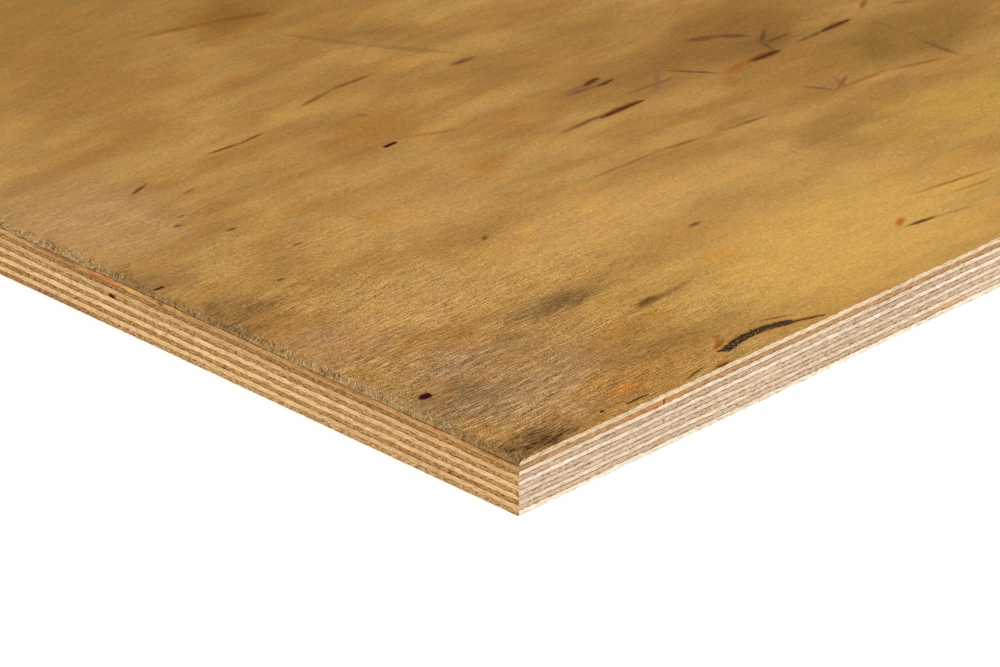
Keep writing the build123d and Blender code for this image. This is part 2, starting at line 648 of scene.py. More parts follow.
sheet_place, _, gives = new_group(
    "sheet_place", {}, dict.fromkeys(("Place", "Grain", "Frayed", "Feathered"), "Vector")
)
object_place = wire(sheet_place, "TexCoord", {}).outputs["Object"]
place = vector_maths(
    sheet_place, "MULTIPLY_ADD", object_place, (MM_PER_M,) * 3, tuple(-v * MM_PER_M for v in NEAR_CORNER)
)
feeds = {"Vector": stretch(sheet_place, place, 0.05, 0.09, 0.05), "Scale": 1.0, "Detail": 2.0}
slow = wire(sheet_place, "TexNoise", feeds).outputs["Color"]
slow = vector_maths(sheet_place, "MULTIPLY_ADD", slow, SLOW_PUSH, [-push / 2 for push in SLOW_PUSH])
fast = cloud(sheet_place, stretch(sheet_place, place, 0.10, 1.3, 1.0), 3.0, 0.6)
fast = wire(sheet_place, "CombineXYZ", {"X": centred(sheet_place, fast, FAST_PUSH)}).outputs[0]
push = vector_maths(sheet_place, "ADD", slow, fast)
for name, value in {
    "Place": place,
    "Grain": vector_maths(sheet_place, "ADD", place, vector_maths(sheet_place, "MULTIPLY", slow, GRAIN_BEND)),
    "Frayed": vector_maths(sheet_place, "ADD", place, push),
    "Feathered": vector_maths(sheet_place, "MULTIPLY_ADD", push, FEATHERED, place),
}.items():
    sheet_place.links.new(value, gives[name])

# %% [markdown]
# ## The figure of rotary cut birch
#
# Birch has a quiet figure: wide soft clouds of darker and paler wood, blotches, fine streaks and
# hairs, short dark pores, bright fibres and a grit of torn cells. Each is one noise, more or less
# stretched along the grain. The group gives them apart, so that a fresh back and an aged face can
# use them in other strengths. On the aged face the Glint noise is a painted highlight: bright,
# whitened specks where light glints off raised fibres.

# %% Group: birch figure
birch_figure, takes, gives = new_group(
    "birch_figure",
    {"Place": "Vector"},
    dict.fromkeys(("Cloud", "Blotch", "Streak", "Hair", "Grain", "Grit", "Pore", "Glint"), "Float"),
)
FIGURE = {  # noise: stretch along the grain and across it, per mm; shift, detail, roughness
    "Cloud": (0.020, 0.060, 0, 3.0, 0.55),
    "Blotch": (0.045, 0.14, 41, 3.0, 0.60),
    "Streak": (0.10, 0.30, 3, 2.0, 0.60),
    "Hair": (0.12, 2.2, 19, 2.0, 0.70),
    "Grain": (0.70, 0.85, 13, 2.0, 0.70),
    "Grit": (2.2, 2.4, 29, 1.0, 0.70),
    "Pore": (0.50, 2.2, 7, 1.0, 0.50),
    "Glint": (1.1, 1.7, 31, 1.0, 0.50),
}
SPARSE = {"Pore": (0.60, 0.72), "Glint": (0.66, 0.71)}  # only the peaks of these two are kept
for name, (along, across, shift, detail, roughness) in FIGURE.items():
    place = stretch(birch_figure, takes["Place"], along, across, across, shift)
    value = cloud(birch_figure, place, detail, roughness)
    if name in SPARSE:
        value = ramp(birch_figure, value, *SPARSE[name])
    birch_figure.links.new(value, gives[name])

# %% [markdown]
# ## One soft stain
#
# A stain is an ellipse of softened rim: the Mapping node, set to Texture, moves and shrinks the
# place so that the ellipse becomes a circle of radius one, and the distance from its middle is
# all that is left to ask. The sawn edges of all plies share this group.

# %% Group: soft stain
soft_stain, takes, gives = new_group(
    "soft_stain",
    {"Place": "Vector", "Middle": "Vector", "Reach": "Vector", "Core": "Float"},
    {"Mask": "Float"},
)
inside_circle = wire(
    soft_stain,
    "Mapping",
    {"Vector": takes["Place"], "Location": takes["Middle"], "Scale": takes["Reach"]},
    vector_type="TEXTURE",
).outputs[0]
from_middle = wire(soft_stain, "VectorMath", {0: inside_circle}, operation="LENGTH").outputs["Value"]
soft_stain.links.new(ramp(soft_stain, from_middle, 1.0, takes["Core"]), gives["Mask"])
print("groups", [g.name for g in bpy.data.node_groups])

# %% [markdown]
# ## Stains on the face
#
# The face has been wet, handled and left in the sun. Broad areas have turned honey yellow or
# brown, water has left grey and olive blooms, and the near corner is black with dirt. The two
# broadest are also painted light: far_painted_shade darkens the face away from the lamp, and
# honey_and_painted_light brightens the lamp-lit front. They are listed from the broadest to the
# smallest, because each is laid over those before it.

# %% Stains
# name: middle, half length, half width, turn in degrees, colour as seen, strength, core
STAINS = {
    # Partly painted shade: the face is painted darker away from the lamp.
    "far_painted_shade": ((150, 330), 260, 150, 0, (157, 115, 56), 0.95, 0.10),
    "left_pale": ((14, 176), 40, 50, 0, (181, 140, 90), 0.75, 0.1),
    # Partly a painted pool of light on the lamp-lit front of the face.
    "honey_and_painted_light": ((150, 28), 98, 48, 0, (207, 161, 85), 1.0, 0.2),
    "pale_middle": ((76, 118), 52, 26, 0, (194, 148, 84), 0.9, 0.1),
    "pale_band": ((106, 78), 100, 24, 2, (203, 156, 88), 0.85, 0.1),
    "pale_left": ((40, 80), 36, 20, 0, (194, 149, 88), 0.8, 0.2),
    "pale_far": ((84, 168), 16, 12, 0, (186, 139, 76), 0.8, 0.1),
    "yellow_side": ((235, 60), 50, 26, 0, (190, 149, 72), 0.9, 0.1),
    "brown_side": ((264, 105), 54, 25, 0, (148, 108, 52), 0.95, 0.3),
    "brown_cloud": ((224, 140), 54, 28, 6, (145, 103, 51), 0.95, 0.3),
    "brown_core": ((231, 130), 13, 7, 0, (130, 90, 46), 0.7, 0.0),
    "brown_near": ((180, 139), 32, 24, 0, (154, 110, 57), 0.9, 0.1),
    "tan_patch": ((112, 166), 26, 12, 0, (163, 112, 50), 0.8, 0.2),
    "tan_patch_far": ((160, 172), 30, 16, 0, (156, 113, 57), 0.7, 0.2),
    "tan_far": ((122, 196), 26, 14, 0, (163, 118, 58), 0.7, 0.1),
    "dark_far": ((156, 212), 24, 12, 0, (146, 106, 54), 0.9, 0.0),
    "shade_far": ((200, 172), 34, 20, 0, (156, 114, 58), 0.8, 0.1),
    "shade_back": ((150, 232), 20, 9, 0, (152, 110, 52), 0.7, 0.0),
    "far_dark": ((136, 248), 30, 20, 20, (143, 98, 42), 0.95, 0.1),
    "grey_cloud": ((198, 76), 24, 13, 20, (160, 120, 62), 0.8, 0.1),
    "tan_side": ((214, 96), 26, 10, 0, (164, 118, 60), 0.8, 0.2),
    "olive_side": ((248, 107), 12, 13, 0, (138, 102, 44), 0.6, 0.0),
    "near_tan": ((30, 28), 46, 36, 0, (170, 130, 86), 0.75, 0.2),
    "left_tan": ((12, 76), 16, 24, 0, (176, 132, 86), 0.8, 0.1),
    "left_band": ((22, 50), 32, 11, 0, (166, 128, 86), 0.8, 0.1),
    "left_grey": ((14, 32), 28, 15, 0, (152, 117, 76), 0.85, 0.15),
    "left_olive": ((8, 108), 14, 13, 0, (143, 105, 62), 0.8, 0.1),
    "left_olive_far": ((8, 133), 14, 13, 0, (154, 115, 68), 0.9, 0.0),
    "warm_front": ((54, 12), 30, 11, 0, (178, 126, 62), 0.7, 0.2),
    "grey_front": ((78, 19), 34, 9, 2, (158, 119, 62), 0.6, 0.0),
    "olive_bloom": ((66, 55), 30, 10, 2, (156, 119, 72), 0.85, 0.0),
    "olive_core": ((72, 54), 12, 5, 0, (130, 97, 54), 0.7, 0.0),
    "brown_front": ((73, 32), 22, 7, 0, (168, 120, 60), 0.7, 0.0),
    "orange_a": ((45, 9), 8, 4, 0, (190, 122, 44), 0.8, 0.0),
    "orange_b": ((34, 55), 6, 5, 0, (180, 124, 58), 0.6, 0.0),
    "orange_c": ((118, 44), 10, 6, 0, (196, 138, 62), 0.6, 0.0),
    "orange_d": ((73, 122), 9, 6, 0, (190, 130, 56), 0.6, 0.0),
    "orange_e": ((116, 128), 10, 7, 0, (176, 120, 50), 0.7, 0.0),
    "orange_f": ((62, 141), 10, 5, 0, (174, 120, 54), 0.6, 0.0),
    "orange_g": ((208, 123), 7, 3.4, 0, (166, 100, 38), 0.7, 0.0),
    "orange_h": ((202, 120), 5, 3.3, 60, (168, 104, 40), 0.6, 0.0),
    "orange_i": ((142, 143), 5, 8, 0, (176, 114, 48), 0.5, 0.0),
    "orange_j": ((168, 158), 9, 5, 0, (170, 112, 50), 0.5, 0.0),
    "corner_grime": ((10, 5), 22, 8, 4, (138, 106, 66), 0.7, 0.2),
    "spot_a": ((127.3, 61.4), 3.4, 1.2, 0, (122, 76, 60), 0.95, 0.3),
    "spot_b": ((82.7, 94.2), 2.4, 1.2, 35, (124, 74, 32), 0.95, 0.3),
    "spot_c": ((40, 144.7), 2.4, 1.1, 0, (106, 68, 38), 0.9, 0.3),
    "spot_d": ((28.5, 113.6), 2.4, 1.1, 0, (112, 76, 44), 0.85, 0.3),
    "spot_e": ((46, 126), 2.2, 1.1, 0, (114, 76, 40), 0.85, 0.3),
    "spot_f": ((63, 31), 3.0, 1.6, 0, (140, 98, 54), 0.6, 0.1),
    "spot_g": ((114.4, 173), 3.0, 1.8, -40, (122, 84, 52), 0.8, 0.1),
    "spot_h": ((31.6, 156), 2.2, 1.2, 0, (112, 84, 48), 0.85, 0.3),
    "spot_i": ((36, 160), 1.8, 1.0, 0, (134, 92, 52), 0.8, 0.3),
}

# %% Streaks
# name: from, to, half width, colour as seen, strength
STREAKS = {
    "left_line_a": ((35.0, 178.7), (44.4, 181.6), 0.95, (98, 52, 24), 0.95),
    "left_line_b": ((66, 184.0), (80, 182.9), 1.0, (114, 68, 28), 0.95),
    "left_line_c": ((77, 182.8), (89, 183.6), 0.85, (110, 66, 28), 0.9),
    "left_line_d": ((104, 188.6), (121, 191.6), 1.2, (134, 80, 30), 0.9),
    "left_line_e": ((118, 191.6), (138, 191.2), 1.2, (122, 72, 28), 0.85),
    "left_line_f": ((45.3, 169.4), (50.8, 170.4), 0.7, (132, 86, 48), 0.85),
    "far_smudge": ((154.5, 180.2), (165.5, 179.4), 1.8, (108, 68, 34), 0.9),
    "upper_hair": ((95.0, 11.4), (106.4, 7.1), 0.6, (138, 78, 28), 0.95),
    "left_blotch": ((76.0, 7.4), (83.6, 10.4), 1.3, (138, 72, 26), 0.95),
    "left_blotch_up": ((79.5, 9.4), (84.5, 13.4), 0.9, (158, 92, 38), 0.8),
    "chip_stain": ((67, 0.8), (77.5, 1.0), 1.5, (156, 96, 40), 0.7),
    "edge_hair": ((58.5, 1.2), (69.5, 3.4), 0.55, (84, 46, 20), 0.95),
    "tail_stain": ((98, 5.6), (112, 1.6), 1.0, (146, 88, 40), 0.8),
    "olive_spot": ((79.8, 38.0), (90.8, 38.9), 2.1, (76, 55, 20), 1.0),
    "olive_spot_tail": ((73, 36.5), (106, 39.6), 1.7, (134, 98, 44), 0.75),
    "long_crack_tail": ((142, 126.4), (163, 127.0), 1.3, (108, 70, 36), 0.85),
    "paired_tail_a": ((161.6, 142.6), (174.6, 144.4), 2.3, (138, 92, 64), 0.75),
    "paired_tail_b": ((163, 142.7), (176, 141.6), 1.2, (122, 78, 50), 0.8),
    "deep_tail_a": ((207, 124.0), (218, 123.2), 1.7, (164, 94, 36), 0.85),
    "deep_tail_b": ((232.5, 122.7), (248, 123.3), 1.3, (108, 76, 42), 0.85),
    "long_crack_body": ((157, 126.0), (177, 126.0), 1.8, (84, 52, 24), 0.95),
    "paired_body_a": ((170.5, 143.8), (179, 145.3), 1.8, (96, 62, 34), 0.9),
    "paired_body_b": ((173, 141.2), (181, 141.8), 1.4, (104, 70, 40), 0.85),
    "deep_body_a": ((215, 123.3), (229, 122.8), 2.4, (84, 48, 20), 0.95),
    "deep_body_b": ((244, 123.2), (259, 123.5), 1.9, (92, 62, 32), 0.9),
    "long_hair": ((126, 100.4), (158, 99.6), 0.9, (142, 92, 42), 0.75),
    "long_hair_end": ((154, 99.9), (169.5, 97.6), 1.2, (142, 84, 32), 0.9),
    "mid_hair": ((173, 97.1), (196, 94.4), 1.0, (134, 90, 46), 0.85),
    "side_hair_a": ((216, 93.4), (240, 92.2), 1.2, (154, 96, 44), 0.85),
    "side_hair_b": ((237, 92.4), (259, 85.4), 1.2, (148, 94, 46), 0.8),
    "side_hair_c": ((260.6, 100.5), (260.2, 83), 1.4, (122, 84, 44), 0.8),
    "front_hair": ((163.8, 21.6), (177.4, 19.7), 1.15, (92, 56, 34), 0.95),
    "front_hair_tail": ((174, 20.1), (188, 17.4), 1.0, (158, 116, 76), 0.7),
    "red_fleck": ((162.4, 22.6), (169.6, 26.2), 1.7, (184, 96, 28), 0.95),
    "amber_hair": ((179, 33.8), (211, 28.9), 1.0, (162, 104, 40), 0.9),
    "amber_hair_low": ((187, 27.2), (207, 24.4), 0.9, (168, 116, 48), 0.8),
    "arc_a": ((212.5, 146.2), (224, 140.8), 2.2, (112, 64, 36), 0.85),
    "arc_b": ((221.4, 142.6), (229.8, 135.2), 2.1, (112, 66, 36), 0.85),
    "short_dark": ((226.6, 128.8), (237.3, 137.1), 1.1, (92, 66, 40), 0.75),
    "star_line": ((228.2, 131), (226.0, 121.5), 1.0, (92, 68, 36), 0.7),
    "olive_arc": ((228, 129), (240, 128.6), 1.1, (104, 70, 34), 0.7),
    "thread_a": ((173, 131.9), (197, 130.4), 1.1, (122, 82, 48), 0.7),
    "thread_b": ((181.5, 126), (195.4, 139.2), 1.1, (130, 92, 70), 0.6),
    "thread_c": ((194, 136.6), (204.8, 122.6), 1.1, (100, 68, 44), 0.8),
    "scribble_a": ((212.5, 103), (218.6, 92), 1.1, (124, 80, 54), 0.75),
    "scribble_b": ((217.5, 92.8), (229, 98.2), 1.0, (130, 82, 58), 0.75),
    "scribble_c": ((221, 91.5), (225, 101), 1.2, (132, 86, 66), 0.5),
    "tick_a": ((265, 125.6), (273, 130.6), 1.3, (108, 76, 44), 0.7),
    "tick_b": ((274, 123.4), (282, 118.6), 1.3, (112, 78, 44), 0.7),
    "crease_a": ((137, 230), (150, 205), 2.4, (134, 98, 54), 0.55),
    "crease_b": ((148, 208), (164, 183), 2.2, (132, 96, 52), 0.55),
    "crease_side": ((261.5, 80), (262, 127), 1.2, (130, 96, 52), 0.4),
    "far_streak_a": ((107, 256), (131, 249.6), 2.0, (136, 88, 36), 0.75),
    "far_streak_b": ((125, 251.4), (150, 241.6), 1.9, (130, 84, 34), 0.75),
    "small_arc": ((110, 155.4), (129, 146.6), 1.3, (158, 100, 42), 0.75),
    "small_arc_left": ((98.5, 157.2), (106.6, 155.2), 1.2, (168, 108, 48), 0.75),
    "notch_hair": ((66, 73.4), (81, 73.4), 0.7, (158, 112, 64), 0.4),
    "orange_curl_a": ((18.6, 41.6), (10.6, 36.2), 1.6, (168, 112, 50), 0.7),
    "orange_curl_b": ((10.8, 36.6), (4.4, 32.0), 1.5, (162, 110, 52), 0.6),
    "orange_curl_c": ((4.8, 31.2), (10.6, 21.4), 1.5, (172, 116, 56), 0.65),
    "orange_curl_d": ((10.6, 21.6), (6.0, 16.4), 1.4, (166, 108, 50), 0.8),
}
OVERLAP = 1.15  # a streak thins out towards its ends, so the pieces of a line overlap
STREAK_CORE = 0.3
for name, (start, end, half_width, colour, strength) in STREAKS.items():
    middle = ((start[0] + end[0]) / 2, (start[1] + end[1]) / 2)
    length = math.hypot(end[0] - start[0], end[1] - start[1])
    turn = math.degrees(math.atan2(end[1] - start[1], end[0] - start[0]))
    STAINS[name] = (middle, length / 2 * OVERLAP, half_width, turn, colour, strength, STREAK_CORE)
print(len(STAINS), "stains and streaks")

# %% [markdown]
# ## Dirt in the grain
#
# Dirt is darker than a stain and it isn't soft: it sits in the hollows between the fibres and
# leaves their backs clean. So its mask isn't used as it is. A noise drawn out into strokes is
# added to it, and only what then stands above a limit is painted, which breaks its rim into
# streaks. Pale hairs are made in the same way, but they lighten and whiten the wood: partly
# fibres whose backs were rubbed clean, partly painted sheen on the raised fibres.

# %% Dirt and pale hairs
# name: middle, half length, half width, turn in degrees, strength
DIRT = {
    "corner_core": ((13, 2.8), 14, 4.0, 4, 1.0),
    "corner_wide": ((10, 4.5), 19, 8, 4, 0.85),
    "corner_end": ((2, 6), 6, 9, 0, 0.8),
    "end_a": ((3.2, 112), 6, 6, 0, 0.6),
    "end_b": ((2.5, 100), 6, 8, 0, 0.8),
    "end_c": ((2.5, 146), 6, 7, 0, 0.7),
    "end_d": ((2.5, 131), 5, 5, 0, 0.5),
    "end_smear": ((13, 105), 14, 5, 0, 0.6),
    "end_smear_low": ((12, 97), 12, 3.5, 0, 0.55),
    "left_smear": ((18, 36), 14, 8, 0, 0.35),
    "front_smear": ((74, 18), 28, 7, 3, 0.3),
    "bloom_core": ((70, 54), 24, 7, 3, 0.4),
}
# Pale hairs: partly rubbed clean fibres, partly painted sheen that whitens them.
PALE_HAIRS = {
    "corner": ((26, 22), 34, 22, 0, 0.6),
    "left": ((30, 62), 40, 26, 0, 0.45),
    "left_far": ((20, 178), 28, 30, 0, 0.6),
    "far_a": ((44, 161), 14, 10, 0, 0.7),
    "far_b": ((79, 197), 14, 12, 0, 0.5),
    "far_c": ((62, 108), 9, 6, 0, 0.6),
    "far_d": ((56, 128), 20, 9, 0, 0.4),
}

# %% [markdown]
# ## Mixing the colours of wood
#
# Wood is never one colour. A tint multiplies a colour where a mask says so, and a gain brightens
# and darkens it by noises, blue more than red, as fibres do when they bleach.
#
# A shader can hold only some 250 values at once, and each stain of the face needs its own. So a
# stain is a single gradient node with its own mapping, which holds one value, and not three.

# %% Helpers of the finishes
DEEP = 1000.0  # reach of a stain through the sheet, so that height doesn't matter
DRIFT = (1.0, 1.32, 2.2)  # a paler fibre is also a greyer one, so blue swings most
DIMMEST = (0.1, 0.1, 0.1)


def new_finish(name):
    """A new material: its tree and its Principled shader."""
    material = bpy.data.materials.new(name)
    material.use_nodes = True
    return material, material.node_tree, material.node_tree.nodes["Principled BSDF"]


def gain(tree, colour, swings, drift=DRIFT):
    """Brighten and darken a colour by some noises, each with its strength."""
    total = 0.0
    for value, strength in swings.items():
        total = maths(tree, "ADD", total, centred(tree, value, strength))
    total = wire(tree, "VectorMath", {0: drift, "Scale": total}, operation="SCALE").outputs[0]
    total = vector_maths(tree, "MAXIMUM", vector_maths(tree, "ADD", total, (1, 1, 1)), DIMMEST)
    return vector_maths(tree, "MULTIPLY", colour, total)


def lively(tree, value, share, quiet, loud):
    """Swing a noise about 0.5: quietly where the share is 0, loudly where it is 1."""
    strength = maths(tree, "MULTIPLY_ADD", share, loud - quiet, quiet)
    return maths(tree, "MULTIPLY_ADD", maths(tree, "SUBTRACT", value, 0.5), strength, 0.5)


def tint(tree, share, colour, factors):
    """Multiply a colour by three factors, as far as the share says."""
    return blend(tree, share, colour, vector_maths(tree, "MULTIPLY", colour, factors))


def ellipse(tree, place, middle, half_length, half_width, turn=0, core=0.0):
    """The mask of one soft stain: a ball of shade, stretched and turned by the node's own mapping."""
    ball = wire(tree, "TexGradient", {"Vector": place}, gradient_type="SPHERICAL")
    ball.texture_mapping.vector_type = "TEXTURE"
    ball.texture_mapping.translation = (*middle, 0)
    ball.texture_mapping.rotation = (0, 0, math.radians(turn))
    ball.texture_mapping.scale = (half_length, half_width, DEEP)
    return ramp(tree, ball.outputs["Fac"], 0.0, 1.0 - core)


def finish_bump(tree, shader, height, depth):
    """Feed a relief, in parts of a depth, to the shader's normal."""
    bump = wire(tree, "Bump", {"Height": height, "Distance": depth, "Strength": 1.0})
    tree.links.new(bump.outputs[0], shader.inputs["Normal"])


# %% [markdown]
# ## Soiled stretches of the frayed ends
#
# The crosscut ends were gripped and stood on in some places, and there the torn fibres are
# dirty. The veneer's own end and the loose fibres on it are two materials, and both have to
# know where. Two lists could drift apart, so one small group tells it to both.

# %% Group: soiled fringe
SOILED_PARTS = ((8, 36), (120, 40))  # mm along the crosscut end: middle and half length
SOILED_CORE = 0.3
SOIL = (0.72, 0.68, 0.61)
soiled_fringe, takes, gives = new_group("soiled_fringe", {"Place": "Vector"}, {"Share": "Float"})
share = 0.0
for middle, half_length in SOILED_PARTS:
    part = ellipse(soiled_fringe, takes["Place"], (0, middle), DEEP, half_length, core=SOILED_CORE)
    share = maths(soiled_fringe, "MAXIMUM", share, part)
soiled_fringe.links.new(share, gives["Share"])


def soiled(tree, place, colour):
    """Dirty a colour in the soiled stretches."""
    return tint(tree, use(tree, soiled_fringe, {"Place": place})["Share"], colour, SOIL)


print("soiled", [f"{middle - half} to {middle + half} mm" for middle, half in SOILED_PARTS])

# %% [markdown]
# ## Finish of the aged face
#
# The layers follow the age of the sheet: the birch itself, the stains, the figure that shows
# through them, the dirt and the rubbed fibres, the marks that were sunk in the mesh, and the
# frayed ends. All of them could be one painted picture, but that would show its grain close up
# and could not be changed. Small marks blend with the plain place and broad ones with the frayed
# place, so that a spot stays a spot. The grain is raised most near the corner by which the sheet
# is picked up.

# %% Material: aged birch face, stains
SMALL_STAIN = 3.2  # mm; narrower stains don't fray
BROAD_STAIN = 11  # mm; wider ones fray most
HAIRY = (0.40, 0.52, 0.55, 1.0)  # a small stain is weaker where the hairs of the figure are low

aged, tree, shader = new_finish("aged_birch_face")
places = use(tree, sheet_place, {})
figure = use(tree, birch_figure, {"Place": places["Grain"]})
wood = blend(tree, ramp(tree, figure["Cloud"], 0.34, 0.66), tone(166, 120, 60), tone(188, 144, 80))
for middle, half_length, half_width, turn, colour, strength, core in STAINS.values():
    small = half_width < SMALL_STAIN
    place = places["Place" if small else "Frayed" if half_width < BROAD_STAIN else "Feathered"]
    mask = ellipse(tree, place, middle, half_length, half_width, turn, core)
    if small:
        mask = maths(tree, "MULTIPLY", mask, ramp(tree, figure["Hair"], *HAIRY))
    wood = blend(tree, maths(tree, "MULTIPLY", mask, strength), wood, tone(*colour))

# %% Material: aged birch face, figure
RAISED_MIDDLE = (10, 20)
RAISED_REACH = (150, 180)
TINTS = (  # noise, where the tint starts and is full, factors
    ("Blotch", 0.50, 0.68, (1.03, 0.98, 0.85)),
    ("Blotch", 0.50, 0.32, (0.97, 1.00, 1.10)),
    ("Streak", 0.50, 0.72, (1.03, 0.98, 0.88)),
    ("Streak", 0.50, 0.28, (0.98, 1.00, 1.08)),
)
SWINGS = {"Blotch": 0.28, "Streak": 0.22}
RAISED_SWINGS = {"Hair": (0.1, 2.3), "Grain": (0.5, 1.05), "Grit": (0.35, 2.6)}  # flat, raised
SPARKS = {  # noise: strength where flat, what raised grain adds, factors
    "Pore": (0.1, 0.45, (0.50, 0.46, 0.40)),
    # Glint paints highlights: sparse specks brightened and whitened, as light glinting off raised fibres.
    "Glint": (0.5, 0.4, (1.55, 1.70, 2.30)),
}

raised = ellipse(tree, places["Place"], RAISED_MIDDLE, *RAISED_REACH, core=0.05)
raised = maths(tree, "MULTIPLY", raised, ramp(tree, figure["Cloud"], 0.36, 0.64, 0.75, 1.2))
for name, start, full, factors in TINTS:
    wood = tint(tree, ramp(tree, figure[name], start, full), wood, factors)
stirred = {name: lively(tree, figure[name], raised, *swing) for name, swing in RAISED_SWINGS.items()}
swings = {figure[name]: swing for name, swing in SWINGS.items()} | dict.fromkeys(stirred.values(), 1.0)
wood = gain(tree, wood, swings)
for name, (flat, added, factors) in SPARKS.items():
    share = maths(tree, "MULTIPLY", figure[name], maths(tree, "MULTIPLY_ADD", raised, added, flat))
    wood = tint(tree, share, wood, factors)

# %% Material: aged birch face, dirt and pale hairs
DIRT_FACTORS = (0.32, 0.25, 0.15)
PALE_FACTORS = (1.42, 1.54, 1.95)
DIRT_STROKES = (8.0, -4.2)  # gain and shift of the noise: the more gain, the harder the strokes
PALE_STROKES = (11.0, -6.4)
GRIT_IN_DIRT = 4.0


def brush(spots, strokes, factors):
    """Tint the wood in some spots, broken up into strokes."""
    painted = wood
    for middle, half_length, half_width, turn, strength in spots.values():
        mask = ellipse(tree, places["Frayed"], middle, half_length, half_width, turn)
        broken = ramp(tree, maths(tree, "ADD", mask, strokes), 0.40, 0.80, 0.0, strength)
        share = maths(tree, "MULTIPLY", broken, ramp(tree, mask, 0.0, 0.25))
        painted = tint(tree, share, painted, factors)
    return painted


strokes = cloud(tree, stretch(tree, places["Grain"], 0.2, 2.0, 2.0, 47.0), 3.0, 0.75)
strokes = maths(tree, "MULTIPLY_ADD", strokes, *DIRT_STROKES)
strokes = maths(tree, "ADD", strokes, centred(tree, figure["Grit"], GRIT_IN_DIRT))
wood = brush(DIRT, strokes, DIRT_FACTORS)
# Pale hairs, partly painted sheen.
wood = brush(PALE_HAIRS, maths(tree, "MULTIPLY_ADD", figure["Hair"], *PALE_STROKES), PALE_FACTORS)

# %% Material: aged birch face, marks
MARK_COLOURS = {  # kind: halo, middle, strength, where the middle starts and is full
    "crack": ((140, 88, 36), (66, 38, 16), 0.92, -0.25, 1.0),
    "knot": ((132, 82, 48), (64, 18, 5), 1.0, -0.08, 0.24),
    "bark": ((136, 88, 38), (68, 45, 25), 1.0, -0.12, 0.20),
}
HALO = 0.65
HALO_REACH = (-0.6, 0.3)  # from where the middle starts
RIM_SWING = 0.7
CRUMB = (178, 154, 130)

fine = cloud(tree, stretch(tree, places["Place"], 2.6, 3.4, 3.4, 5.0), 2.0, 0.7)
for kind, (halo, middle, strength, start, full) in MARK_COLOURS.items():
    inside = wire(tree, "Attribute", {}, attribute_name="inside_" + kind).outputs["Fac"]
    inside = maths(tree, "ADD", inside, centred(tree, fine, RIM_SWING))
    share = ramp(tree, inside, start + HALO_REACH[0], start + HALO_REACH[1], 0.0, HALO)
    wood = blend(tree, share, wood, tone(*halo))
    wood = blend(tree, ramp(tree, inside, start, full, 0.0, strength), wood, tone(*middle))
    if kind == "bark":
        crumbs = ramp(tree, fine, 0.57, 0.66)
        crumbs = maths(tree, "MULTIPLY", crumbs, ramp(tree, inside, 0.3, 0.7, 0.0, 0.85))
        wood = blend(tree, crumbs, wood, tone(*CRUMB))

# %% Material: aged birch face, frayed ends
STRAW = ((90, 67, 38), (196, 158, 104), (224, 198, 150))  # hollow between the fibres, dark with dirt and painted shade; fibre; freshly torn fibre
END_HAIRS = 8.0  # mm by which the hairs of the figure push the rim of the frayed strip

split = wire(tree, "SeparateXYZ", {0: places["Place"]}).outputs
to_middle = maths(tree, "ABSOLUTE", maths(tree, "SUBTRACT", split[0], HALF_X / MM))
from_end = maths(tree, "SUBTRACT", HALF_X / MM, to_middle)
from_end = maths(tree, "ADD", from_end, centred(tree, figure["Hair"], END_HAIRS))
tangle = cloud(tree, stretch(tree, places["Place"], 0.8, 1.0, 1.0, 17.0), 3.0, 0.8)
dirty_shaded_hollow, straw, torn = (tone(*colour) for colour in STRAW)
# The tangle noise lays painted shade and dirt in the hollows between the torn fibres.
fibre = blend(tree, ramp(tree, tangle, 0.36, 0.52), dirty_shaded_hollow, straw)
fibre = soiled(tree, places["Place"], blend(tree, ramp(tree, tangle, 0.57, 0.68), fibre, torn))
wood = blend(tree, ramp(tree, from_end, 3.0, 0.2, 0.0, 0.85), wood, fibre)
tree.links.new(wood, shader.inputs["Base Color"])

# %% Material: aged birch face, shine and relief
DULL = 0.02  # old bare wood has next to no gloss
shine = ramp(tree, figure["Cloud"], 0.3, 0.7, 0.56, 0.70)
tree.links.new(shine, shader.inputs["Roughness"])
shader.inputs["Specular IOR Level"].default_value = DULL
finish_bump(tree, shader, maths(tree, "ADD", stirred["Hair"], stirred["Grit"]), 0.05 * MM)
face.data.materials.append(aged)
print("face finish", len(tree.nodes), "nodes")

# %% [markdown]
# ## Finish of the sawn edges
#
# In a sawn edge every second ply shows its end grain and looks darker, because end grain drinks
# light and dirt. The saw and the fibres both draw lines along the ply, so one noise is drawn out
# along it and hardly up it, and its specks stand out more in end grain. Each ply has its own two
# colours, because veneers come from different logs; they also grow paler from the face down to
# the back, which is partly painted light from the white floor below. The glue shows as a thin
# dark line, read from the height that was kept in the mesh.

# %% Group: sawn grain
FIBRE_SCALE = 0.35  # the fibres are this much coarser than the specks
PATCH_SCALE = 0.03
GLUE_FULL = 0.04  # of a ply's height
sawn_grain, takes, gives = new_group(
    "sawn_grain",
    {"Place": "Vector", "Height": "Float", "Soak": "Float"},
    dict.fromkeys(("Speck", "Fibre", "Patch", "Glue"), "Float"),
)
place, height = takes["Place"], takes["Height"]
specks = cloud(sawn_grain, place, 2.0, 0.85)
fibres = cloud(sawn_grain, stretch(sawn_grain, place, *(FIBRE_SCALE,) * 3, 9.0), 3.0, 0.75)
patches = cloud(sawn_grain, vector_maths(sawn_grain, "MULTIPLY", place, (PATCH_SCALE,) * 3), 3.0)
from_joint = maths(sawn_grain, "MINIMUM", height, maths(sawn_grain, "SUBTRACT", 1.0, height))
for ragged, swing in ((fibres, 0.26), (specks, 0.40)):
    from_joint = maths(sawn_grain, "ADD", from_joint, centred(sawn_grain, ragged, swing))
for name, value in {
    "Speck": specks,
    "Fibre": fibres,
    "Patch": patches,
    "Glue": ramp(sawn_grain, from_joint, takes["Soak"], GLUE_FULL),
}.items():
    sawn_grain.links.new(value, gives[name])

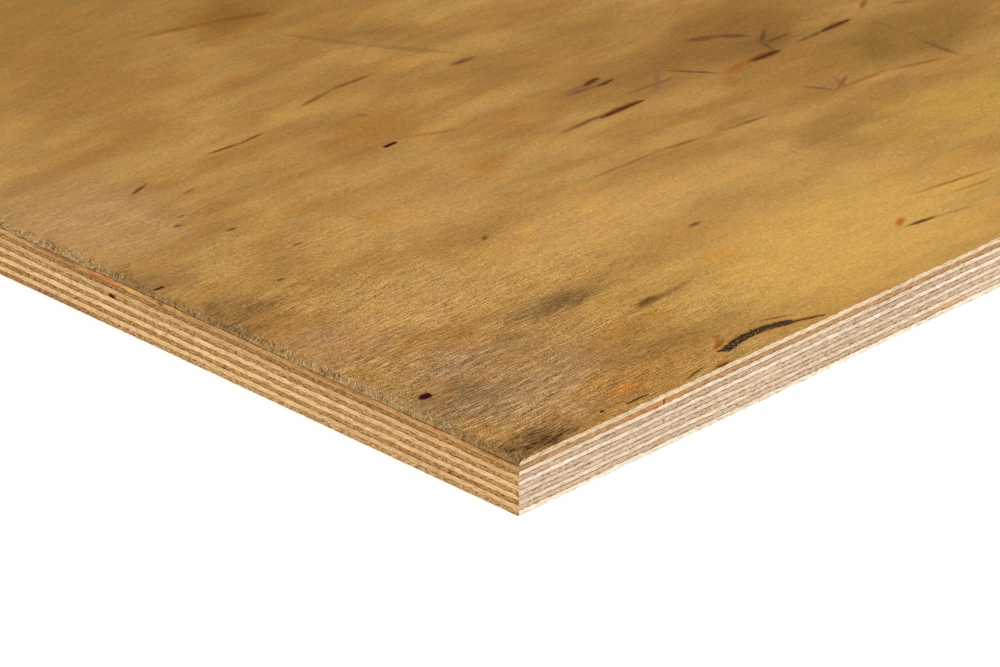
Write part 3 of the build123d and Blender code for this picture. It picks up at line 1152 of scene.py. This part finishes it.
# %% Material: sawn birch, one per ply
# ply: colour as seen on the rip edge, colour as seen on the crosscut end; the lower plies are paler, partly
# painted light from the floor
PLY_COLOURS = {
    1: ((236, 208, 168), (158, 128, 86)),
    2: ((196, 150, 104), (194, 147, 93)),
    3: ((246, 219, 187), (164, 121, 72)),
    4: ((208, 178, 148), (212, 169, 116)),
    5: ((250, 225, 195), (180, 136, 83)),
    6: ((217, 189, 159), (226, 185, 135)),
    7: ((240, 213, 181), (182, 140, 87)),
    8: ((221, 192, 162), (230, 188, 133)),
    9: ((248, 221, 188), (180, 136, 82)),
    10: ((221, 192, 161), (230, 187, 131)),
    11: ((254, 238, 212), (197, 157, 106)),
}
GLUE = ((142, 108, 78), (130, 90, 46))
DARK_SPECK = ((170, 116, 80), (104, 68, 34))

# %% Marks in the sawn edges
# ply, edge, mm along it and down from the face, half length, half height, colour as seen, strength
EDGE_MARKS = (
    (2, "rip", 48, 2.1, 15, 2, (206, 134, 78), 0.85),
    (2, "crosscut", 149, 2.1, 9, 2, (206, 128, 70), 0.8),
    (2, "rip", 50.5, 2.0, 0.5, 1.2, (112, 62, 34), 0.95),
    (2, "crosscut", 168, 1.8, 14, 0.8, (130, 84, 46), 0.7),
    (2, "crosscut", 138, 2.0, 5.5, 1.0, (226, 174, 104), 0.8),
    (2, "crosscut", 127.8, 1.9, 1.6, 1.0, (150, 84, 40), 0.85),
    (2, "crosscut", 62, 1.7, 24, 0.7, (150, 102, 58), 0.7),
    (2, "crosscut", 28, 1.8, 4, 0.7, (196, 128, 76), 0.7),
    (2, "crosscut", 12, 1.8, 9, 0.6, (156, 110, 64), 0.7),
    # Ply 5's dark notch is painted shade: a hole in the edge that the mesh doesn't have.
    (5, "crosscut", 146.7, 6.3, 1.7, 0.85, (56, 26, 12), 1.0),
    (6, "rip", 50.5, 7.6, 0.4, 0.9, (160, 122, 88), 0.8),
    (10, "rip", 77.2, 12.7, 0.6, 0.5, (176, 108, 66), 0.9),
    (10, "rip", 155, 12.8, 12, 1.2, (226, 174, 122), 0.7),
    (11, "crosscut", 180, 14.3, 40, 1.5, (150, 92, 58), 0.6),
)
EDGE_MARK_CORE = 0.4


def edge_mark(tree, place, wood, edge, along, down, half_length, half_height, colour, strength):
    """Lay one mark over the wood of a sawn edge."""
    if edge == "rip":
        light, middle, reach = LIGHT_ON_RIP_EDGE, (along, 0, -down), (half_length, DEEP, half_height)
    else:
        light, middle, reach = LIGHT_ON_CROSSCUT, (0, along, -down), (DEEP, half_length, half_height)
    feeds = {"Place": place, "Middle": middle, "Reach": reach, "Core": EDGE_MARK_CORE}
    mask = maths(tree, "MULTIPLY", use(tree, soft_stain, feeds)["Mask"], strength)
    return blend(tree, mask, wood, tone(*colour, light))


# %% Grain and glue of the two kinds of ply
# kind: stretch of its noise along the sheet, across it and up; how far glue soaks in on the rip
# edge and on the crosscut end; swing of its specks in end grain; dark specks on a side and an end
SAWN_KINDS = {
    "cross": ((0.80, 0.45, 2.8), (0.22, 0.12), 1.7, (0.35, 0.20)),
    "long": ((0.45, 0.90, 2.8), (0.11, 0.18), 3.6, (0.15, 0.70)),
}
SAWN_DRIFT = (1.0, 1.15, 1.5)
SAWN_SWINGS = {"Fibre": 0.75, "Patch": 0.55}
SIDE_SPECKS = 1.5
NEXT_PLY = 5.7  # shift in the noise from ply to ply
UPPER_JOINT_PAINTED_LIGHT = 0.06  # of a ply's height: the glue line above a cross ply is painted fainter than the one below, as painted light against the shadow that the overhanging ply above casts on it
GLUE_STRENGTH = (0.9, 0.5)  # on the rip edge, on the crosscut end
LENGTHWISE = 0.7  # a face looks along the sheet when its normal does so by more than this


# %% Sawn finish of one ply
def crosscut_share(tree):
    """1 on a face that looks along the sheet, 0 on all others."""
    normal = wire(tree, "NewGeometry", {}).outputs["True Normal"]
    along = maths(tree, "ABSOLUTE", wire(tree, "SeparateXYZ", {0: normal}).outputs[0])
    return maths(tree, "GREATER_THAN", along, LENGTHWISE)


def sawn_finish(number):
    """The finish of one ply's sawn edges."""
    is_cross = number % 2 == 0
    stretches, soaked, end_specks, dark_share = SAWN_KINDS["cross" if is_cross else "long"]
    made, tree, shader = new_finish(f"sawn_birch_{number:02d}")
    place = use(tree, sheet_place, {})["Place"]
    drawn = stretch(tree, place, *stretches, shift=number * NEXT_PLY)
    height = wire(tree, "Attribute", {}, attribute_name="ply_height").outputs["Fac"]
    # Fainter glue on the joint above a cross ply: painted light against a cast shadow.
    height = maths(tree, "MULTIPLY_ADD", height, 1 - UPPER_JOINT_PAINTED_LIGHT, 0.0 if is_cross else UPPER_JOINT_PAINTED_LIGHT)
    end = crosscut_share(tree)
    soak = ramp(tree, end, 0.0, 1.0, *soaked, curve="LINEAR")
    pattern = use(tree, sawn_grain, {"Place": drawn, "Height": height, "Soak": soak})

    def either(on_rip, on_crosscut):
        """One colour on the rip edge, another on the crosscut end."""
        return blend(tree, end, tone(*on_rip, LIGHT_ON_RIP_EDGE), tone(*on_crosscut, LIGHT_ON_CROSSCUT))

    wood = either(*PLY_COLOURS[number])
    for ply, *mark in EDGE_MARKS:
        if ply == number:
            wood = edge_mark(tree, place, wood, *mark)
    strength = maths(tree, "MULTIPLY_ADD", end, GLUE_STRENGTH[1] - GLUE_STRENGTH[0], GLUE_STRENGTH[0])
    wood = blend(tree, maths(tree, "MULTIPLY", pattern["Glue"], strength), wood, either(*GLUE))
    end_grain = maths(tree, "ABSOLUTE", maths(tree, "SUBTRACT", end, 1.0 if is_cross else 0.0))
    speck = lively(tree, pattern["Speck"], end_grain, SIDE_SPECKS, end_specks)
    swings = {pattern[name]: swing for name, swing in SAWN_SWINGS.items()} | {speck: 1.0}
    wood = gain(tree, wood, swings, SAWN_DRIFT)
    share = maths(tree, "MULTIPLY_ADD", end_grain, dark_share[1] - dark_share[0], dark_share[0])
    dark_specks = maths(tree, "MULTIPLY", ramp(tree, pattern["Speck"], 0.42, 0.30), share)
    wood = blend(tree, dark_specks, wood, either(*DARK_SPECK))
    tree.links.new(wood, shader.inputs["Base Color"])
    shader.inputs["Roughness"].default_value = 0.75
    shader.inputs["Specular IOR Level"].default_value = DULL
    finish_bump(tree, shader, maths(tree, "ADD", pattern["Speck"], pattern["Fibre"]), 0.08 * MM)
    return made


# %% Laying the finishes on the plies
UPRIGHT = 0.2  # a face is a side when its normal rises or drops less than this
RIP_RIM = 0.3 * MM

for number, node in enumerate(ply_nodes, start=2):
    plies[node].data.materials.append(sawn_finish(number))
face.data.materials.append(sawn_finish(1))
for polygon in face.data.polygons:
    on_rip_edge = abs(polygon.normal.z) < UPRIGHT and abs(polygon.center.y) > HALF_Y - RIP_RIM
    polygon.material_index = 1 if on_rip_edge else 0
print("sawn finishes", [m.name for m in bpy.data.materials if m.name.startswith("sawn")])

# %% [markdown]
# ## The back of the sheet
#
# The back was never walked on or rained on. It is the same birch, pale and sanded, so it takes
# the figure without the stains. Only the downward face of the last ply gets it.

# %% Material: sanded back
LIGHT_ON_BACK = 1.0
BACK_COLOURS = ((212, 178, 132), (230, 200, 156), (164, 124, 80))  # darker, paler, pores
BACK_SWINGS = {"Streak": 0.25, "Hair": 0.4, "Grain": 0.2}

back, tree, shader = new_finish("sanded_birch_back")
figure = use(tree, birch_figure, {"Place": use(tree, sheet_place, {})["Place"]})
darker, paler, pores = (tone(*colour, light=LIGHT_ON_BACK) for colour in BACK_COLOURS)
wood = blend(tree, ramp(tree, figure["Cloud"], 0.35, 0.65), darker, paler)
wood = gain(tree, wood, {figure[name]: swing for name, swing in BACK_SWINGS.items()})
wood = blend(tree, maths(tree, "MULTIPLY", figure["Pore"], 0.4), wood, pores)
tree.links.new(wood, shader.inputs["Base Color"])
shader.inputs["Roughness"].default_value = 0.7
shader.inputs["Specular IOR Level"].default_value = 0.15
finish_bump(tree, shader, maths(tree, "ADD", figure["Hair"], figure["Streak"]), 0.03 * MM)
plies["back_veneer"].data.materials.append(back)
for polygon in plies["back_veneer"].data.polygons:
    polygon.material_index = 1 if polygon.normal.z < -UPRIGHT else 0
print("back finish", len(tree.nodes), "nodes")

# %% [markdown]
# ## Frayed fibres along the crosscut ends
#
# Where the crosscut ends have rubbed, the veneer has come apart into short curly fibres, brown
# with dirt and straw coloured where they are freshly torn. One fibre is modelled by pulling a
# small triangle up in bent steps to a tip. Thousands of copies by hand would be hopeless, so
# Geometry Nodes strews them over a copy of the worn strip, each turned and sized by dice, and
# the result is made real mesh. The dice are thrown face by face. An extrusion numbers its new
# faces by chance, so the strip's faces are numbered by their place first.

# %% One fibre
FIBRE_RADIUS = 0.070 * MM
FIBRE_STEPS = ((0.12, 0.28), (0.38, 0.20))  # mm sideways and up
FIBRE_TIP = (0.45, -0.06)
THINNING = 0.8

bpy.ops.object.select_all(action="DESELECT")
bpy.ops.mesh.primitive_circle_add(vertices=3, radius=FIBRE_RADIUS, fill_type="NGON", location=(0, 0, 0))
fibre_model = bpy.context.object
fibre_model.name = "fibre_model"
bpy.ops.object.mode_set(mode="EDIT")
bpy.ops.mesh.select_all(action="SELECT")
for sideways, up in (*FIBRE_STEPS, FIBRE_TIP):
    bpy.ops.mesh.extrude_region_move(TRANSFORM_OT_translate={"value": (sideways * MM, 0, up * MM)})
    bpy.ops.transform.resize(value=(THINNING, THINNING, 1))
bpy.ops.mesh.merge(type="CENTER")
bpy.ops.mesh.select_all(action="SELECT")
bpy.ops.mesh.normals_make_consistent(inside=False)
bpy.ops.object.mode_set(mode="OBJECT")
print("fibre", len(fibre_model.data.polygons), "faces")

# %% Material: frayed fibre
FIBRE_COLOURS = ((80, 57, 30), (210, 169, 112), (254, 230, 182))  # dirty, dry, freshly torn
FIBRE_SWING = 2.2

frayed, tree, shader = new_finish("frayed_fibre")
shade = wire(tree, "Attribute", {}, attribute_name="fibre_shade").outputs["Fac"]
place = use(tree, sheet_place, {})["Place"]
dirty, dry, torn = (tone(*colour) for colour in FIBRE_COLOURS)
wood = blend(tree, ramp(tree, shade, 0.12, 0.50), dirty, dry)
wood = soiled(tree, place, blend(tree, ramp(tree, shade, 0.68, 0.92), wood, torn))
wood = gain(tree, wood, {cloud(tree, stretch(tree, place, 0.25, 0.3, 0.25)): FIBRE_SWING})
tree.links.new(wood, shader.inputs["Base Color"])
shader.inputs["Roughness"].default_value = 0.8
shader.inputs["Specular IOR Level"].default_value = 0.05

# %% Strewing the fibres
FIBRES_PER_M2 = 2.75 / MM**2
FRAYED_REACH = 2.8 * MM
FULL_FROM = 0.4  # of that reach, measured from the end
INNER_SHARE = 0.15  # how many of the fibres are left at the inner rim
TUFT_SIZE = 7 * MM
TUFT_LIMITS = (0.37, 0.63)
TUFT_DENSITY = 2.0
LEAN_OUT = (0.7, 1.75)  # radians
TURNED = (0.5, 2.2)  # radians to either side, about X and about Z
SMALLEST = (0.6, 0.6, 0.5)
LARGEST = (1.5, 1.5, 1.2)


def strewing(side, seed):
    """The node tree that strews fibres, leaning out over one crosscut end."""
    tree = bpy.data.node_groups.new("strewing", "GeometryNodeTree")
    for in_out in ("INPUT", "OUTPUT"):
        tree.interface.new_socket("Geometry", in_out=in_out, socket_type="NodeSocketGeometry")
    strip = tree.nodes.new("NodeGroupInput").outputs[0]

    def geometry(kind, feeds, **settings):
        """Add a geometry node; gives back its first output."""
        return add_node(tree, "GeometryNode" + kind, feeds, **settings).outputs[0]

    def thrown(low, high, throw):
        """A vector between two others, by dice for each fibre."""
        feeds = {0: low, 1: high, "Seed": seed + throw}
        return add_node(tree, "FunctionNodeRandomValue", feeds, data_type="FLOAT_VECTOR").outputs[0]

    tufts = wire(tree, "TexNoise", {"Scale": 1 / TUFT_SIZE, "Detail": 2.0}).outputs["Fac"]
    tufts = ramp(tree, tufts, *TUFT_LIMITS, 0.0, TUFT_DENSITY, curve="LINEAR")
    from_middle = wire(tree, "SeparateXYZ", {0: geometry("InputPosition", {})}).outputs[0]
    from_middle = maths(tree, "ABSOLUTE", from_middle)
    rim, full = HALF_X - FRAYED_REACH, HALF_X - FULL_FROM * FRAYED_REACH
    thinning = ramp(tree, from_middle, rim, full, INNER_SHARE * FIBRES_PER_M2, FIBRES_PER_M2, curve="LINEAR")
    density = maths(tree, "MULTIPLY", tufts, thinning)
    points = geometry("DistributePointsOnFaces", {"Mesh": strip, "Density": density, "Seed": seed})
    leans = sorted(side * lean for lean in LEAN_OUT)
    copies = geometry("InstanceOnPoints", {
        "Points": points,
        "Instance": add_node(tree, "GeometryNodeObjectInfo", {"Object": fibre_model}).outputs["Geometry"],
        "Rotation": thrown((-TURNED[0], leans[0], -TURNED[1]), (TURNED[0], leans[1], TURNED[1]), 1),
        "Scale": thrown(SMALLEST, LARGEST, 2),
    })
    shade = add_node(tree, "FunctionNodeRandomValue", {2: 0.0, 3: 1.0, "Seed": seed + 3}).outputs[1]
    feeds = {"Geometry": copies, "Name": "fibre_shade", "Value": shade}
    kept = geometry("StoreNamedAttribute", feeds, data_type="FLOAT", domain="INSTANCE")
    real = geometry("RealizeInstances", {"Geometry": kept})
    tree.links.new(real, tree.nodes.new("NodeGroupOutput").inputs[0])
    return tree


# %% The two frayed ends
SIDE_ROOM = 0.3 * MM  # the fibres stay this far above the joint


def number_by_place(piece):
    """In edit mode, number the faces by their place, so that the dice fall alike in every run."""
    mesh = bmesh.from_edit_mesh(piece.data)
    by_place = sorted(mesh.faces, key=lambda ring: ring.calc_center_median()[:])
    for number, ring in enumerate(by_place):
        ring.index = number
    mesh.faces.sort()
    bmesh.update_edit_mesh(piece.data)


def frayed_end(name, side, seed):
    """Strew fibres over the worn strip of one crosscut end."""
    bpy.ops.object.select_all(action="DESELECT")
    face.select_set(True)
    bpy.context.view_layer.objects.active = face
    bpy.ops.object.duplicate()
    piece = bpy.context.object
    piece.name = name
    bpy.ops.object.mode_set(mode="EDIT")
    pick(
        piece,
        "FACE",
        lambda ring: min(side * c.x for c in ring) < HALF_X - FRAYED_REACH
        or min(c.z for c in ring) < FACE_LOW + SIDE_ROOM,
    )
    bpy.ops.mesh.delete(type="FACE")
    number_by_place(piece)
    bpy.ops.object.mode_set(mode="OBJECT")
    strew = piece.modifiers.new("strew", "NODES")
    strew.node_group = strewing(side, seed)
    bpy.ops.object.modifier_apply(modifier=strew.name)
    piece.data.materials.clear()
    piece.data.materials.append(frayed)
    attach(piece, "root")
    print(name, len(piece.data.polygons), "faces")


frayed_end("frayed_end_near", -1, 5)
frayed_end("frayed_end_far", 1, 50)
bpy.data.objects.remove(fibre_model)
